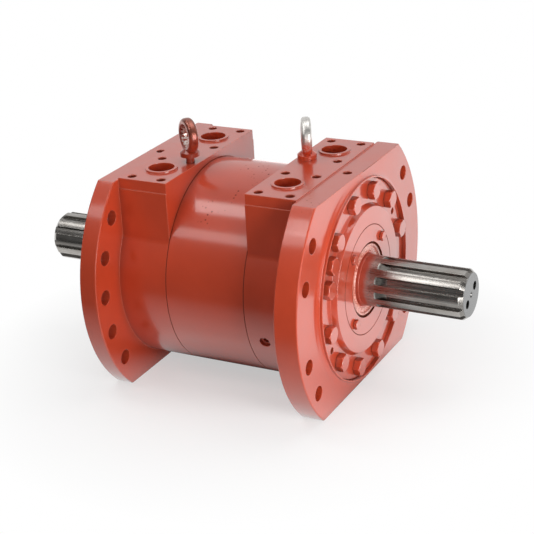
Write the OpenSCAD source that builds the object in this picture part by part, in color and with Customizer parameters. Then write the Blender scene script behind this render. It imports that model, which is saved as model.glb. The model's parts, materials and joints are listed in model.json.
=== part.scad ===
// Low speed vane motor with a through shaft, two port casings and a central drum.
// X runs along the shaft towards the front end, Z is up, and z = 0 is the floor under the flange flats.

/* [Casings] */
// Diameter of the round mounting flanges
flange_d = 550; // [530:5:600]
// Thickness of the front mounting flange
flange_t = 45; // [36:1:50]
// Thickness of the rear mounting flange
rear_flange_t = 35; // [33:1:45]
// Distance from the drum to the back of each flange
casing_l = 100; // [96:1:115]
// Width of the flange's chamfered rims
flange_chamfer = 1.5; // [0.5:0.5:4]
// Height of the drum's underside above the floor that the flange flats stand on
drum_clear = 8; // [7:1:19]
// Diameter of the drum and of the round part of each casing
body_d = 392; // [376:2:410]
// Length of the central drum
drum_len = 160; // [156:2:170]
// Width of the port block on each casing
block_w = 340; // [332:2:350]
// Height of the port block's top above the flange's top flat
block_rise = 3; // [1:0.5:8]
// Height of the machined band round the top of the port block
band_h = 20; // [8:1:26]
// Depth by which the machined band is cut back
band_cut = 2; // [0.5:0.5:4]
// Diameter of the holes in the mounting flanges
flange_hole_d = 28; // [18:0.5:32]
// Distance of the circle that the flange holes lie on from the flange's rim
flange_rim = 30; // [24:1:36]
// Angle of the inner pair of flange holes from the horizontal
hole_angle_in = 17.5; // [15:0.5:20]
// Angle of the outer pair of flange holes from the horizontal
hole_angle_out = 35; // [32:0.5:40]

/* [Ports] */
// Diameter of each port bore
port_d = 48; // [36:1:50]
// Distance of each port from the vertical plane through the shaft
port_y = 98; // [94:1:101]
// Spacing along the shaft of a port's four tapped holes
port_pitch_x = 61.9; // [58:0.1:64]
// Spacing across the shaft of a port's four tapped holes
port_pitch_y = 106.4; // [98:0.1:110]
// Outer diameter of the raised land round a port
port_land_d = 60; // [54:1:66]
// Height of the raised land round a port
port_land_h = 3.5; // [1:0.5:5]
// Thread diameter of the port holes, which the lifting eyes also use
port_thread_d = 16; // [12:1:18]
// Depth of the port's tapped holes
port_thread_l = 30; // [24:1:32]
// Diameter of the drain port's thread
drain_d = 21; // [14:1:24]
// Depth of the drain port's thread
drain_l = 20; // [18:0.5:21]
// Angle of the drain port below the horizontal
drain_angle = 20; // [16:1:24]
// Distance of the drain port from the middle of the motor
drain_x = 113; // [106:1:122]

/* [Covers] */
// Diameter of the cover bolts' circle as a share of the drum's diameter
bolt_share = 0.842; // [0.83:0.002:0.846]
// Width of the bearing cover outside the bolts' circle
cover_rim = 24; // [22:0.5:26]
// Width of the pilot ring round the cover's recess
pilot_w = 3; // [2:0.5:5]
// Height of the pilot ring above the flange face
pilot_h = 8.5; // [6:0.5:12]
// Width of the sloped foot round the pilot ring
pilot_foot_w = 12; // [4:1:14]
// Height of the sloped foot round the pilot ring
pilot_foot_h = 3; // [1:0.5:4]
// Thickness of the bearing cover's plate
cover_t = 14; // [10:1:16]
// Gap between the cover bolts' heads and the foot of the cover's raised boss
boss_gap = 5.7; // [3:0.1:15]
// Height of the cover's raised boss
boss_h = 10.5; // [6:0.5:14]
// Width of the boss's sloped shoulder
boss_slope = 5.5; // [3:0.5:10]
// Thread diameter of the cover bolts
cover_bolt_d = 20; // [16:1:20]
// Width across the flats of the cover bolt heads
cover_bolt_af = 30; // [24:1:32]
// Height of the cover bolt heads
cover_bolt_k = 14; // [10:0.5:15]
// Thread diameter of the holes that push the cover off
jack_d = 12; // [8:1:14]
// Outer diameter of the seal retainer plate
retainer_d = 206.6; // [200:0.2:210]
// Diameter of the circle that the retainer screws lie on
retainer_pcd = 179; // [176:1:180]
// Thread diameter of the retainer screws
retainer_screw_d = 10; // [6:1:10]
// Width across the flats of the retainer screws' heads
retainer_screw_af = 17; // [10:1:18]
// Height of the retainer screws' heads
retainer_screw_k = 6.4; // [4:0.2:8]

/* [Shaft] */
// Length of the shaft from end to end
shaft_len = 872; // [820:2:900]
// Diameter of the shaft's splined ends
shaft_d = 95; // [90:0.5:98]
// Diameter at the bottom of the spline grooves
spline_root_d = 82; // [78:0.5:85]
// Width of each spline land
spline_land = 14.8; // [12:0.1:16]
// Number of splines on each shaft end
spline_n = 10; // [8:1:12]
// Distance from the flange face to the start of the spline grooves
spline_start = 42; // [34:1:60]
// Radius of the cutter that runs the grooves out
spline_cutter_r = 40; // [20:1:60]
// Diameter of the flat end face inside the end chamfer
shaft_end_d = 81; // [76:1:84]
// Length of the end chamfer
shaft_chamfer = 8; // [4:0.5:12]
// Spacing of the two tapped holes in the front shaft end
end_hole_pitch = 43; // [36:1:46]
// Thread diameter of the two tapped holes in the front shaft end
end_hole_d = 16; // [10:1:18]
// Depth of the tapped holes in the front shaft end
end_hole_l = 36; // [20:1:50]

/* [Bearings] */
// Bore of the roller bearings
bearing_d = 110; // [108:0.5:111]
// Outer diameter of the roller bearings
bearing_od = 200; // [196:1:200]
// Width of the roller bearings
bearing_b = 38; // [32:1:40]
// Diameter of each roller
roller_d = 22; // [18:0.5:23]
// Number of rollers in each bearing
roller_n = 16; // [12:1:16]

/* [Rotating group] */
// Wall of the drum between the cam ring and the cover bolts
drum_wall = 8; // [7:0.5:12]
// Smallest diameter of the cam bore as a share of the cam ring's outer diameter
cam_share = 0.8; // [0.79:0.005:0.82]
// Radial travel of the vanes from lobe to lobe
vane_stroke = 12; // [8:0.5:13]
// Thickness of each side plate
plate_t = 22; // [16:1:26]
// Thickness of each vane
vane_t = 8; // [5:0.5:10]
// Wall of the rotor between its splined bore and the holes under the vanes
rotor_web = 10.2; // [9:0.2:16]
// Diameter of the rotor's splined bore at the bottom of its grooves
rotor_spline_d = 124; // [122:0.5:126]
// Width of each land in the rotor's splined bore
rotor_spline_land = 16; // [12:0.5:18]

/* [Lifting eyes] */
// Outer diameter of the front lifting eye's ring
eye_od = 72; // [60:1:80]
// Outer diameter of the rear lifting eye's ring
rear_eye_od = 66; // [56:1:80]
// Radial thickness of a lifting eye's ring
eye_bar = 14; // [10:0.5:16]
// Width of a lifting eye's ring along its hole
eye_width = 19; // [16:0.5:22]
// Diameter of the collar of a lifting eye
eye_collar_d = 36; // [30:1:40]
// Height of the collar of a lifting eye
eye_collar_h = 11; // [6:0.5:12]
// Height by which the rear eye is left unscrewed
rear_eye_lift = 12; // [0:1:14]
// Direction of the front eye's ring, from the shaft axis
front_eye_turn = -62; // [-180:1:180]
// Direction of the rear eye's ring, from the shaft axis
rear_eye_turn = -39; // [-180:1:180]

/* [Hidden] */
$fn = 96;
paint = "#c0452f";
steel = "#9a9894";
dark = "#3a3a3c";
bronze = "#b08a4a";
// Radial play of parts that turn or slide in one another
run_gap = 0.05;
// Radial play of screws in their threads and of parts that are pushed home
fit_gap = 0.05;
// Radial play of bolts in plain holes
bolt_gap = 0.75;
// Sealing gap that the vane tips keep
tip_gap = 0.3;
// Overshoot of cutting tools beyond a face
over = 1;

flange_r = flange_d / 2;
hole_pcd = flange_d - 2 * flange_rim;
rear_step = flange_t - rear_flange_t;
seam_x = drum_len / 2;
back_x = seam_x + casing_l;
face_x = back_x + flange_t;
body_r = body_d / 2;
axis_h = body_r + drum_clear;
block_top = axis_h + block_rise;
port_x = (seam_x + back_x) / 2;
port_bore_l = 67;
port_floor = block_top - port_bore_l;
passage_d = port_d - 8;
eye_hole = [port_x - port_pitch_x / 2, port_y - port_pitch_y / 2];
countersink = 1;

bolt_r = bolt_share * body_r;
bolt_hole_r = cover_bolt_d / 2 + bolt_gap;
recess_r = bolt_r + cover_rim;
pilot_r = recess_r + pilot_w;
cover_proud = 1;
cover_x = face_x + cover_proud;
recess_x = cover_x - cover_t;
boss_x = cover_x + boss_h;
boss_r = bolt_r - cover_bolt_af / 2 / cos(30) - boss_gap;
bolt_angles = [for (i = [0:11]) 15 + 30 * i];
extra_bolt_angles = [150, 330];
jack_angles = [30, 210];
short_bolt_angles = [45, 135];
screw_angles = [45, 135, 225, 315];
bolt_in_drum = 35;
short_bolt_l = 28;
hole_spare = 5;
top_hole_l = 24;
top_hole_x = recess_x - port_thread_d / 2 - 3;

bearing_r = bearing_d / 2;
bearing_or = bearing_od / 2;
spigot_l = 24;
bearing_end = recess_x - spigot_l;
bearing_x = bearing_end - bearing_b;
roller_r = roller_d / 2;
race_mid = (bearing_r + bearing_or) / 2;
inner_race_r = race_mid - roller_r;
outer_race_r = race_mid + roller_r;
race_lip = 6;
race_lip_h = 3;
roller_l = bearing_b - 2 * race_lip;
roller_play = 0.05;
roller_end_play = 0.2;
cage_w = 12;
cage_t = 3.5;
cage_play = 0.4;
shoulder_relief = 4;

shaft_r = shaft_d / 2;
journal_r = shaft_r + 1;
spline_relief = 0.6;
spline_r = shaft_r - spline_relief;
shaft_end_x = shaft_len / 2;
neck_l = 12;
neck_x = recess_x - neck_l;
core_r = bearing_r + 1;
spline_x = face_x + spline_start;
front_groove_turn = 12;
rear_groove_turn = 3;
end_hole_turn = 32;
centre_drill_d = 10;
centre_drill_l = 8;
snap_w = 4;
snap_depth = 2.5;
snap_out = 6;

ring_r = bolt_r - cover_bolt_d / 2 - drum_wall;
cam_r = cam_share * ring_r;
rotor_half = seam_x - plate_t;
rotor_r = cam_r - 0.5;
plate_play = 0.1;
vane_n = 12;
vane_turn = 15;
lobes = 4;
vane_tip = cam_r - tip_gap;
under_r = 6;
under_c = rotor_spline_d / 2 + rotor_web + under_r;
vane_foot = under_c + under_r - 0.5;
window_in = cam_r - 6;
window_out = cam_r + vane_stroke - 1;
window_sweep = 22;
plate_bore = 66;
rotor_spline_n = 10;
rotor_root = rotor_spline_d / 2 - 6;
spacer_r = 64;

bore_r = 70;
gallery_in = cam_r - 14;
gallery_out = ring_r - 13;
gallery_end = port_x - 10;
passage_floor = sqrt(pow(gallery_out, 2) - pow(port_y, 2)) - 11;

seal_ring = 2;
seam_seal_r = ring_r + drum_wall / 2;
plate_seal_in = (bore_r + gallery_in) / 2 - 1;
plate_seal_out = (gallery_out + ring_r) / 2;
cover_spigot_in = 76;
cover_seal_x = (bearing_end + recess_x) / 2;
retainer_r = retainer_d / 2;
retainer_t = 18.5;
retainer_x = boss_x - retainer_t;
retainer_bore = 69.3;
seal_gap_w = 1.8;
seal_gap_depth = 5;
retainer_lip_x = retainer_x + 3;
retainer_lip_r = 60;
seal_x = boss_x - 2;
screw_l = 18;
screw_end = retainer_x - screw_l;

dowel_d = 16;
dowel_l = 30;
dowel_angles = [0, 180];
pin_d = 16;
pin_at = (cam_r + ring_r) / 2;
pin_angles = [90, 270];
pin_end = rotor_half + 10;
plug_depth = 6;
plug_l = 11.5;
plug_socket = 6;
drain_way_r = 2.5;
drain_from = body_r - drain_l + 2;

// Places children on the shaft axis: their z runs along the shaft, their x is across and their y is up.
module on_axis(x = 0) {
    translate([x, 0, axis_h]) rotate([90, 0, 90]) children();
}

// Turns an end's piece to the rear end of the motor, step nearer to the middle.
module at_rear(step = 0) {
    rotate([0, 0, 180]) translate([-step, 0, 0]) children();
}

// Disc or rod from x0 to x1 on the shaft axis.
module rod(x0, x1, r) {
    on_axis(x0) cylinder(h = x1 - x0, r = r);
}

// Tube from x0 to x1 on the shaft axis.
module tube(x0, x1, r_in, r_out) {
    on_axis(x0) linear_extrude(x1 - x0) difference() {
        circle(r = r_out);
        circle(r = r_in);
    }
}

// Ring of round section about the shaft axis.
module seal_torus(x, r_mid, r_wire) {
    on_axis(x) rotate_extrude() translate([r_mid, 0]) circle(r = r_wire, $fn = 32);
}

// Rods parallel to the shaft, at each angle of a list.
module rods_at(angles, r_at, x0, x1, r) {
    for (a = angles) on_axis(x0) rotate(a) translate([r_at, 0, 0]) cylinder(h = x1 - x0, r = r, $fn = 48);
}

// Straight-sided spline outline, made larger all round by play.
module spline_outline(n, r_root, r_top, land, play) {
    circle(r = r_root + play);
    intersection() {
        circle(r = r_top + play);
        for (i = [0:n - 1]) rotate(i * 360 / n) translate([0, -land / 2 - play]) square([r_top + over, land + 2 * play]);
    }
}

// Space between two neighbouring lands of a spline, centred on angle 0.
module groove_outline(n, r_root, r_top, land) {
    half = 180 / n;
    t_in = 0.72 * r_root;
    t_out = r_top + 4 * over;
    function side(t) = [t * cos(half) + land / 2 * sin(half), t * sin(half) - land / 2 * cos(half)];
    difference() {
        polygon([side(t_in), side(t_out), [side(t_out)[0], -side(t_out)[1]], [side(t_in)[0], -side(t_in)[1]]]);
        circle(r = r_root);
    }
}

// Round outline of a casing with the port block on top.
module body_outline() {
    circle(r = body_r);
    translate([-block_w / 2, 0]) square([block_w, block_top - band_h]);
    translate([-block_w / 2 + band_cut, 0]) square([block_w - 2 * band_cut, block_top]);
}

// Flange disc of thickness t with chamfered rims and a flat top and bottom.
module flange_disc(t) {
    c = flange_chamfer;
    intersection() {
        on_axis(back_x) rotate_extrude() polygon([[0, 0], [flange_r - c, 0], [flange_r, c], [flange_r, t - c], [flange_r - c, t], [0, t]]);
        translate([back_x - over, -flange_d, 0]) cube([t + 2 * over, 2 * flange_d, 2 * axis_h]);
    }
}

// Tapped hole down from a level face, with a small countersink at its mouth.
module hole_down(x, y, z_top, d, l) {
    translate([x, y, z_top - l]) cylinder(h = l + over, r = d / 2, $fn = 48);
    translate([x, y, z_top - countersink]) cylinder(h = countersink + 0.01, r1 = d / 2, r2 = d / 2 + countersink, $fn = 48);
}

// Bores, lands' mouths and tapped holes of one port.
module port_cuts(side) {
    translate([port_x, side * port_y, axis_h + port_floor])
        cylinder(h = block_top + port_land_h - port_floor + over, r = port_d / 2);
    translate([port_x, side * port_y, axis_h + passage_floor])
        cylinder(h = port_floor - passage_floor + over, r = passage_d / 2);
    for (sx = [-1, 1]) for (sy = [-1, 1])
        hole_down(port_x + sx * port_pitch_x / 2, side * port_y + sy * port_pitch_y / 2,
            axis_h + block_top, port_thread_d, port_thread_l);
}

// Places children with z pointing outwards along the drain port's axis.
module at_drain() {
    translate([drain_x, 0, axis_h]) rotate([90 + drain_angle, 0, 0]) children();
}

// Pilot ring on the flange face at x, with a sloped foot and room for the cover inside.
module pilot_ring(x) {
    on_axis(x - over) rotate_extrude() translate([0, over]) polygon([
        [recess_r, -over], [pilot_r + pilot_foot_w, -over], [pilot_r + pilot_foot_w, 0],
        [pilot_r, pilot_foot_h], [pilot_r, pilot_h], [recess_r, pilot_h]
    ]);
}

// Casing whose flange is thinner by step, with or without holes at the level of the shaft.
module casing(step, level_holes) {
    face = face_x - step;
    floor_x = recess_x - step;
    seat_x = bearing_x - step;
    way_run = seat_x - shoulder_relief / 2 - drain_x;
    way_drop = drain_from - outer_race_r + shoulder_relief;
    difference() {
        union() {
            on_axis(seam_x) linear_extrude(back_x - seam_x + over) body_outline();
            flange_disc(flange_t - step);
            pilot_ring(face);
            for (side = [-1, 1]) translate([port_x, side * port_y, axis_h + block_top - over])
                cylinder(h = port_land_h + over, r = port_land_d / 2);
        }
        rod(floor_x, face + pilot_h + over, recess_r);
        rod(seat_x, floor_x + over, bearing_or + fit_gap);
        rod(seat_x - shoulder_relief, seat_x + over, outer_race_r - 1);
        rod(seam_x - over, seat_x + over, bore_r);
        tube(seam_x - over, gallery_end, gallery_in, gallery_out);
        for (side = [-1, 1]) port_cuts(side);
        for (side = [0, 180]) for (a = [-hole_angle_out, -hole_angle_in, hole_angle_in, hole_angle_out])
            rods_at([side + a], hole_pcd / 2, back_x - over, face + over, flange_hole_d / 2);
        if (level_holes) rods_at([0, 180], hole_pcd / 2, back_x - over, face + over, flange_hole_d / 2);
        for (a = concat(bolt_angles, extra_bolt_angles)) if (len(search(a, short_bolt_angles)) == 0)
            rods_at([a], bolt_r, seam_x - over, floor_x + over, bolt_hole_r);
        rods_at(short_bolt_angles, bolt_r, floor_x - short_bolt_l - 4, floor_x + over, cover_bolt_d / 2);
        rods_at(dowel_angles, bolt_r, seam_x - over, seam_x + dowel_l / 2, dowel_d / 2);
        hole_down(top_hole_x - step, 0, 2 * axis_h, port_thread_d, top_hole_l);
        at_drain() {
            translate([0, 0, body_r - drain_l]) cylinder(h = drain_l + over, r = drain_d / 2);
            translate([0, 0, drain_from]) rotate([0, 180 - atan(way_run / way_drop), 0])
                cylinder(h = norm([way_run, way_drop]), r = drain_way_r, $fn = 32);
        }
    }
}

module front_casing() {
    color(paint) casing(0, false);
}

module rear_casing() {
    color(paint) at_rear() casing(rear_step, true);
}

module drum() {
    color(paint) difference() {
        tube(-seam_x, seam_x, ring_r, body_r);
        for (end = [[0, 0], [180, rear_step]]) rotate([0, 0, end[0]]) {
            for (a = concat(bolt_angles, extra_bolt_angles)) if (len(search(a, short_bolt_angles)) == 0)
                rods_at([a], bolt_r, seam_x - bolt_in_drum - end[1] - hole_spare, seam_x + over, cover_bolt_d / 2);
            rods_at(dowel_angles, bolt_r, seam_x - dowel_l / 2, seam_x + over, dowel_d / 2);
            tube(seam_x - 2 * seal_ring, seam_x + over, seam_seal_r - seal_ring, seam_seal_r + seal_ring);
        }
    }
}

// Distance of the cam surface from the axis at angle a.
function cam_at(a) = cam_r + vane_stroke * (1 - cos(lobes * a)) / 2;

module cam_ring() {
    color(steel) difference() {
        on_axis(-rotor_half) linear_extrude(2 * rotor_half) difference() {
            circle(r = ring_r - fit_gap);
            polygon([for (i = [0:143]) cam_at(2.5 * i) * [cos(2.5 * i), sin(2.5 * i)]]);
        }
        rods_at(pin_angles, pin_at, -pin_end, pin_end, pin_d / 2);
    }
}

// One kidney-shaped window through a side plate.
module window(a) {
    on_axis(rotor_half - over) rotate(a - window_sweep / 2)
        rotate_extrude(angle = window_sweep) translate([window_in, 0]) square([window_out - window_in, plate_t + 2 * over]);
}

module side_plate() {
    difference() {
        tube(rotor_half, seam_x, plate_bore, ring_r - fit_gap);
        for (i = [0:lobes - 1]) window(22.5 + 90 * i);
        tube(rotor_half - over, rotor_half + 3, under_c - 4, under_c + 4);
        for (r = [plate_seal_in, plate_seal_out])
            tube(seam_x - 2 * seal_ring, seam_x + over, r - seal_ring, r + seal_ring);
        rods_at(pin_angles, pin_at, 0, pin_end + 0.5, pin_d / 2);
    }
}

module front_side_plate() {
    color(bronze) side_plate();
}

module rear_side_plate() {
    color(bronze) at_rear() side_plate();
}

module cover() {
    difference() {
        union() {
            on_axis(recess_x) rotate_extrude() polygon([
                [0, 0], [recess_r - fit_gap, 0], [recess_r - fit_gap, cover_t - 2], [recess_r - 2, cover_t],
                [boss_r, cover_t], [boss_r - boss_slope, cover_t + boss_h], [0, cover_t + boss_h]
            ]);
            rod(bearing_end, recess_x + over, bearing_or);
        }
        rod(bearing_end - over, boss_x, cover_spigot_in);
        rod(retainer_x, boss_x + over, retainer_r + fit_gap);
        for (a = concat(bolt_angles, extra_bolt_angles))
            rods_at([a], bolt_r, recess_x - over, cover_x + over, bolt_hole_r);
        rods_at(jack_angles, bolt_r, recess_x - over, cover_x + over, jack_d / 2);
        rods_at(screw_angles, retainer_pcd / 2, screw_end - 2, retainer_x + over, retainer_screw_d / 2);
        tube(cover_seal_x - seal_ring, cover_seal_x + seal_ring, bearing_or - 2 * seal_ring, bearing_or + over);
    }
}

module front_cover() {
    color(paint) cover();
}

module rear_cover() {
    color(paint) at_rear(rear_step) cover();
}

// Hexagon head of width af and height k, with a washer face under it and a chamfered top.
module hex_head(af, k) {
    corner = af / 2 / cos(30);
    bevel = 0.08 * af;
    cylinder(h = 1, r = 0.475 * af);
    intersection() {
        translate([0, 0, 0.8]) cylinder(h = k - 0.8, r = corner, $fn = 6);
        cylinder(h = k, r1 = corner + k - bevel, r2 = corner - bevel);
    }
}

// Bolt on the cover at angle a, down to x_end, with its head turned as the spanner left it.
module cover_bolt(a, x_end) {
    rods_at([a], bolt_r, x_end, cover_x + over, cover_bolt_d / 2 - fit_gap);
    on_axis(cover_x) rotate(a) translate([bolt_r, 0, 0]) rotate(8 * sin(5 * a) - a)
        hex_head(cover_bolt_af, cover_bolt_k);
}

module cover_bolts() {
    for (a = concat(bolt_angles, extra_bolt_angles))
        cover_bolt(a, len(search(a, short_bolt_angles)) == 0 ? seam_x - bolt_in_drum : recess_x - short_bolt_l);
}

module front_cover_bolts() {
    color(paint) cover_bolts();
}

module rear_cover_bolts() {
    color(paint) at_rear(rear_step) cover_bolts();
}

module seal_retainer() {
    difference() {
        tube(retainer_x, boss_x, retainer_lip_r, retainer_r);
        rod(retainer_lip_x, boss_x + over, retainer_bore);
        rod(boss_x - seal_gap_depth, boss_x + over, retainer_bore + seal_gap_w);
        rods_at(screw_angles, retainer_pcd / 2, retainer_x - over, boss_x + over, retainer_screw_d / 2 + bolt_gap);
    }
}

module front_seal_retainer() {
    color(paint) seal_retainer();
}

module rear_seal_retainer() {
    color(paint) at_rear(rear_step) seal_retainer();
}

module retainer_screws() {
    rods_at(screw_angles, retainer_pcd / 2, screw_end, boss_x + over, retainer_screw_d / 2 - fit_gap);
    for (a = screw_angles) on_axis(boss_x) rotate(a) translate([retainer_pcd / 2, 0, 0]) rotate(11 * cos(2 * a) - a)
        hex_head(retainer_screw_af, retainer_screw_k);
}

module front_retainer_screws() {
    color(paint) retainer_screws();
}

module rear_retainer_screws() {
    color(paint) at_rear(rear_step) retainer_screws();
}

// Lip seal: outer case, web and lip, with a notch behind the lip for its spring.
module shaft_seal() {
    lip_r = journal_r + run_gap;
    case_r = retainer_bore - fit_gap;
    seal_b = seal_x - retainer_lip_x;
    on_axis(retainer_lip_x) rotate_extrude() polygon([
        [case_r, 0], [case_r, seal_b], [case_r - 6, seal_b], [case_r - 7.5, seal_b - 3], [lip_r + 6, seal_b - 3],
        [lip_r + 4, seal_b - 1], [lip_r, seal_b - 2.5], [lip_r, seal_b - 4], [lip_r + 1.5, seal_b - 7], [lip_r, 4],
        [lip_r, 2], [lip_r + 2.5, 1], [lip_r + 4.5, 1], [lip_r + 4.5, 5], [lip_r + 8, 5], [lip_r + 8, seal_b - 6],
        [case_r - 5, seal_b - 6], [case_r - 5, 0]
    ]);
}

module front_shaft_seal() {
    color(dark) shaft_seal();
}

module rear_shaft_seal() {
    color(dark) at_rear(rear_step) shaft_seal();
}

module seal_spring() {
    seal_torus(retainer_lip_x + 3, journal_r + run_gap + 6.2, 1.5);
}

module front_seal_spring() {
    color(steel) seal_spring();
}

module rear_seal_spring() {
    color(steel) at_rear(rear_step) seal_spring();
}

module casing_seal() {
    seal_torus(seam_x - seal_ring, seam_seal_r, seal_ring - 0.05);
}

module front_casing_seal() {
    color(dark) casing_seal();
}

module rear_casing_seal() {
    color(dark) at_rear() casing_seal();
}

module cover_seal() {
    seal_torus(cover_seal_x, bearing_or - seal_ring, seal_ring - 0.05);
}

module front_cover_seal() {
    color(dark) cover_seal();
}

module rear_cover_seal() {
    color(dark) at_rear(rear_step) cover_seal();
}

module plate_seals() {
    seal_torus(seam_x - seal_ring, plate_seal_in, seal_ring - 0.05);
    seal_torus(seam_x - seal_ring, plate_seal_out, seal_ring - 0.05);
}

module front_plate_seals() {
    color(dark) plate_seals();
}

module rear_plate_seals() {
    color(dark) at_rear() plate_seals();
}

module bearing_outer() {
    difference() {
        tube(bearing_x, bearing_end, outer_race_r - race_lip_h, bearing_or);
        rod(bearing_x + race_lip - roller_end_play, bearing_end - race_lip + roller_end_play, outer_race_r);
    }
}

module front_bearing_outer() {
    color(steel) bearing_outer();
}

module rear_bearing_outer() {
    color(steel) at_rear(rear_step) bearing_outer();
}

module bearing_inner() {
    tube(bearing_x, bearing_end, bearing_r + fit_gap, inner_race_r);
}

module front_bearing_inner() {
    color(steel) bearing_inner();
}

module rear_bearing_inner() {
    color(steel) at_rear(rear_step) bearing_inner();
}

module bearing_rollers() {
    x0 = bearing_x + race_lip;
    rods_at([for (i = [0:roller_n - 1]) i * 360 / roller_n], race_mid, x0, x0 + roller_l, roller_r - roller_play);
}

module front_bearing_rollers() {
    color(steel) bearing_rollers();
}

module rear_bearing_rollers() {
    color(steel) at_rear(rear_step) bearing_rollers();
}

// Cage of two side rings joined by a bar between each pair of rollers.
module bearing_cage() {
    bar_w = 2 * PI * race_mid / roller_n - roller_d - 2;
    for (x = [bearing_x + race_lip - cage_t - cage_play, bearing_end - race_lip + cage_play])
        tube(x, x + cage_t, race_mid - cage_w / 2, race_mid + cage_w / 2 - 2);
    for (i = [0:roller_n - 1]) on_axis(bearing_x + race_lip - cage_t) rotate((i + 0.5) * 360 / roller_n)
        translate([race_mid - cage_w / 2 + 1, -bar_w / 2, 0]) cube([cage_w - 4, bar_w, roller_l + 2 * cage_t]);
}

module front_bearing_cage() {
    color(bronze) bearing_cage();
}

module rear_bearing_cage() {
    color(bronze) at_rear(rear_step) bearing_cage();
}

module dowel_pins() {
    color(steel) for (turn = [0, 180]) rotate([0, 0, turn])
        rods_at(dowel_angles, bolt_r, seam_x - dowel_l / 2, seam_x + dowel_l / 2, dowel_d / 2 - fit_gap);
}

module locating_pins() {
    color(steel) rods_at(pin_angles, pin_at, -pin_end, pin_end, pin_d / 2 - fit_gap);
}

// Screwed plug sunk in the drain port, with a hexagon socket.
module drain_plug() {
    at_drain() difference() {
        translate([0, 0, body_r - plug_depth - plug_l]) cylinder(h = plug_l, r = drain_d / 2 - fit_gap);
        translate([0, 0, body_r - plug_depth - plug_socket]) cylinder(h = plug_socket + over, r = 0.3 * drain_d, $fn = 6);
    }
}

module front_drain_plug() {
    color(paint) drain_plug();
}

module rear_drain_plug() {
    color(paint) at_rear() drain_plug();
}

// Lifting eye screwed into the inner tapped hole of a port, raised by lift and turned by turn.
module lifting_eye(od, lift, turn) {
    round_off = (eye_width - eye_bar) / 2;
    translate([eye_hole[0], eye_hole[1], axis_h + block_top + lift]) rotate([0, 0, turn]) {
        translate([0, 0, 6 + od / 2]) rotate([90, 0, 0]) rotate_extrude() translate([(od - eye_bar) / 2, 0]) union() {
            square([eye_bar, 2 * round_off], center = true);
            for (s = [-1, 1]) translate([0, s * round_off]) circle(r = eye_bar / 2, $fn = 32);
        }
        cylinder(h = eye_collar_h - 3, r = eye_collar_d / 2);
        translate([0, 0, eye_collar_h - 3]) cylinder(h = 6, r1 = eye_collar_d / 2, r2 = eye_width / 2 + 1);
        translate([0, 0, 3 - port_thread_l]) cylinder(h = port_thread_l - 2, r = port_thread_d / 2 - fit_gap);
    }
}

module front_lifting_eye() {
    color(steel) lifting_eye(eye_od, 0, front_eye_turn);
}

module rear_lifting_eye() {
    color(paint) at_rear() lifting_eye(rear_eye_od, rear_eye_lift, rear_eye_turn + 180);
}

// One spline groove from x0 outwards, with the arc that its cutter leaves where the groove runs out.
module spline_groove(x0) {
    root = spline_root_d / 2;
    run_out = sqrt(pow(spline_cutter_r, 2) - pow(spline_cutter_r - shaft_r + root, 2));
    full_x = x0 + run_out;
    intersection() {
        translate([0, 0, x0 - over]) linear_extrude(shaft_end_x - x0 + 2 * over)
            groove_outline(spline_n, root, shaft_r, spline_land);
        union() {
            translate([root - 2 * over, -shaft_r, full_x]) cube([shaft_r, shaft_d, shaft_end_x]);
            translate([root + spline_cutter_r, shaft_r, full_x]) rotate([90, 0, 0]) cylinder(h = shaft_d, r = spline_cutter_r);
        }
    }
}

// Half of the shaft from the middle to one end, with its seats nearer by step and its grooves turned.
module shaft_half(step, groove_turn) {
    seat = bearing_x - step;
    seat_end = bearing_end - step;
    neck = neck_x - step;
    seal_end = boss_x - step;
    spline = spline_x - step;
    difference() {
        on_axis() rotate_extrude() polygon([
            [0, 0], [core_r, 0], [core_r, seat], [bearing_r, seat],
            [bearing_r, seat_end + snap_w + 3], [bearing_r - 2, seat_end + snap_w + 5], [bearing_r - 2, neck],
            [journal_r, neck + 3], [journal_r, seal_end + 0.5], [shaft_r, seal_end + 1.5],
            [shaft_r, spline], [spline_r, spline + spline_relief],
            [spline_r, shaft_end_x - shaft_chamfer], [shaft_end_d / 2, shaft_end_x], [0, shaft_end_x]
        ]);
        on_axis() for (i = [0:spline_n - 1]) rotate(groove_turn + i * 360 / spline_n) spline_groove(spline);
        tube(seat_end, seat_end + snap_w, bearing_r - snap_depth, bearing_r + over);
        on_axis(shaft_end_x - centre_drill_l) cylinder(h = centre_drill_l + 0.01, r1 = 0, r2 = centre_drill_d / 2);
    }
}

module shaft() {
    color(steel) union() {
        difference() {
            shaft_half(0, front_groove_turn);
            rods_at([end_hole_turn, end_hole_turn + 180], end_hole_pitch / 2, shaft_end_x - end_hole_l, shaft_end_x + over, end_hole_d / 2);
        }
        at_rear() shaft_half(rear_step, 180 - rear_groove_turn);
        on_axis(-rotor_half) linear_extrude(2 * rotor_half)
            spline_outline(rotor_spline_n, rotor_root, rotor_spline_d / 2, rotor_spline_land, 0);
    }
}

module rotor() {
    color(steel) difference() {
        rod(-rotor_half + plate_play, rotor_half - plate_play, rotor_r);
        on_axis(-rotor_half - over) linear_extrude(2 * (rotor_half + over))
            spline_outline(rotor_spline_n, rotor_root, rotor_spline_d / 2, rotor_spline_land, run_gap);
        for (i = [0:vane_n - 1]) on_axis(-rotor_half - over) rotate(vane_turn + i * 360 / vane_n) {
            translate([under_c, -vane_t / 2 - run_gap, 0]) cube([rotor_r, vane_t + 2 * run_gap, 2 * (rotor_half + over)]);
            translate([under_c, 0, 0]) cylinder(h = 2 * (rotor_half + over), r = under_r, $fn = 48);
        }
    }
}

// Vane number i, drawn in, with a round tip.
module vane(i) {
    half = rotor_half - plate_play;
    color(steel) on_axis(-half) rotate(vane_turn + (i - 1) * 360 / vane_n) linear_extrude(2 * half) union() {
        translate([vane_foot, -vane_t / 2]) square([vane_tip - vane_t / 2 - vane_foot, vane_t]);
        translate([vane_tip - vane_t / 2, 0]) circle(r = vane_t / 2, $fn = 48);
    }
}

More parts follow.
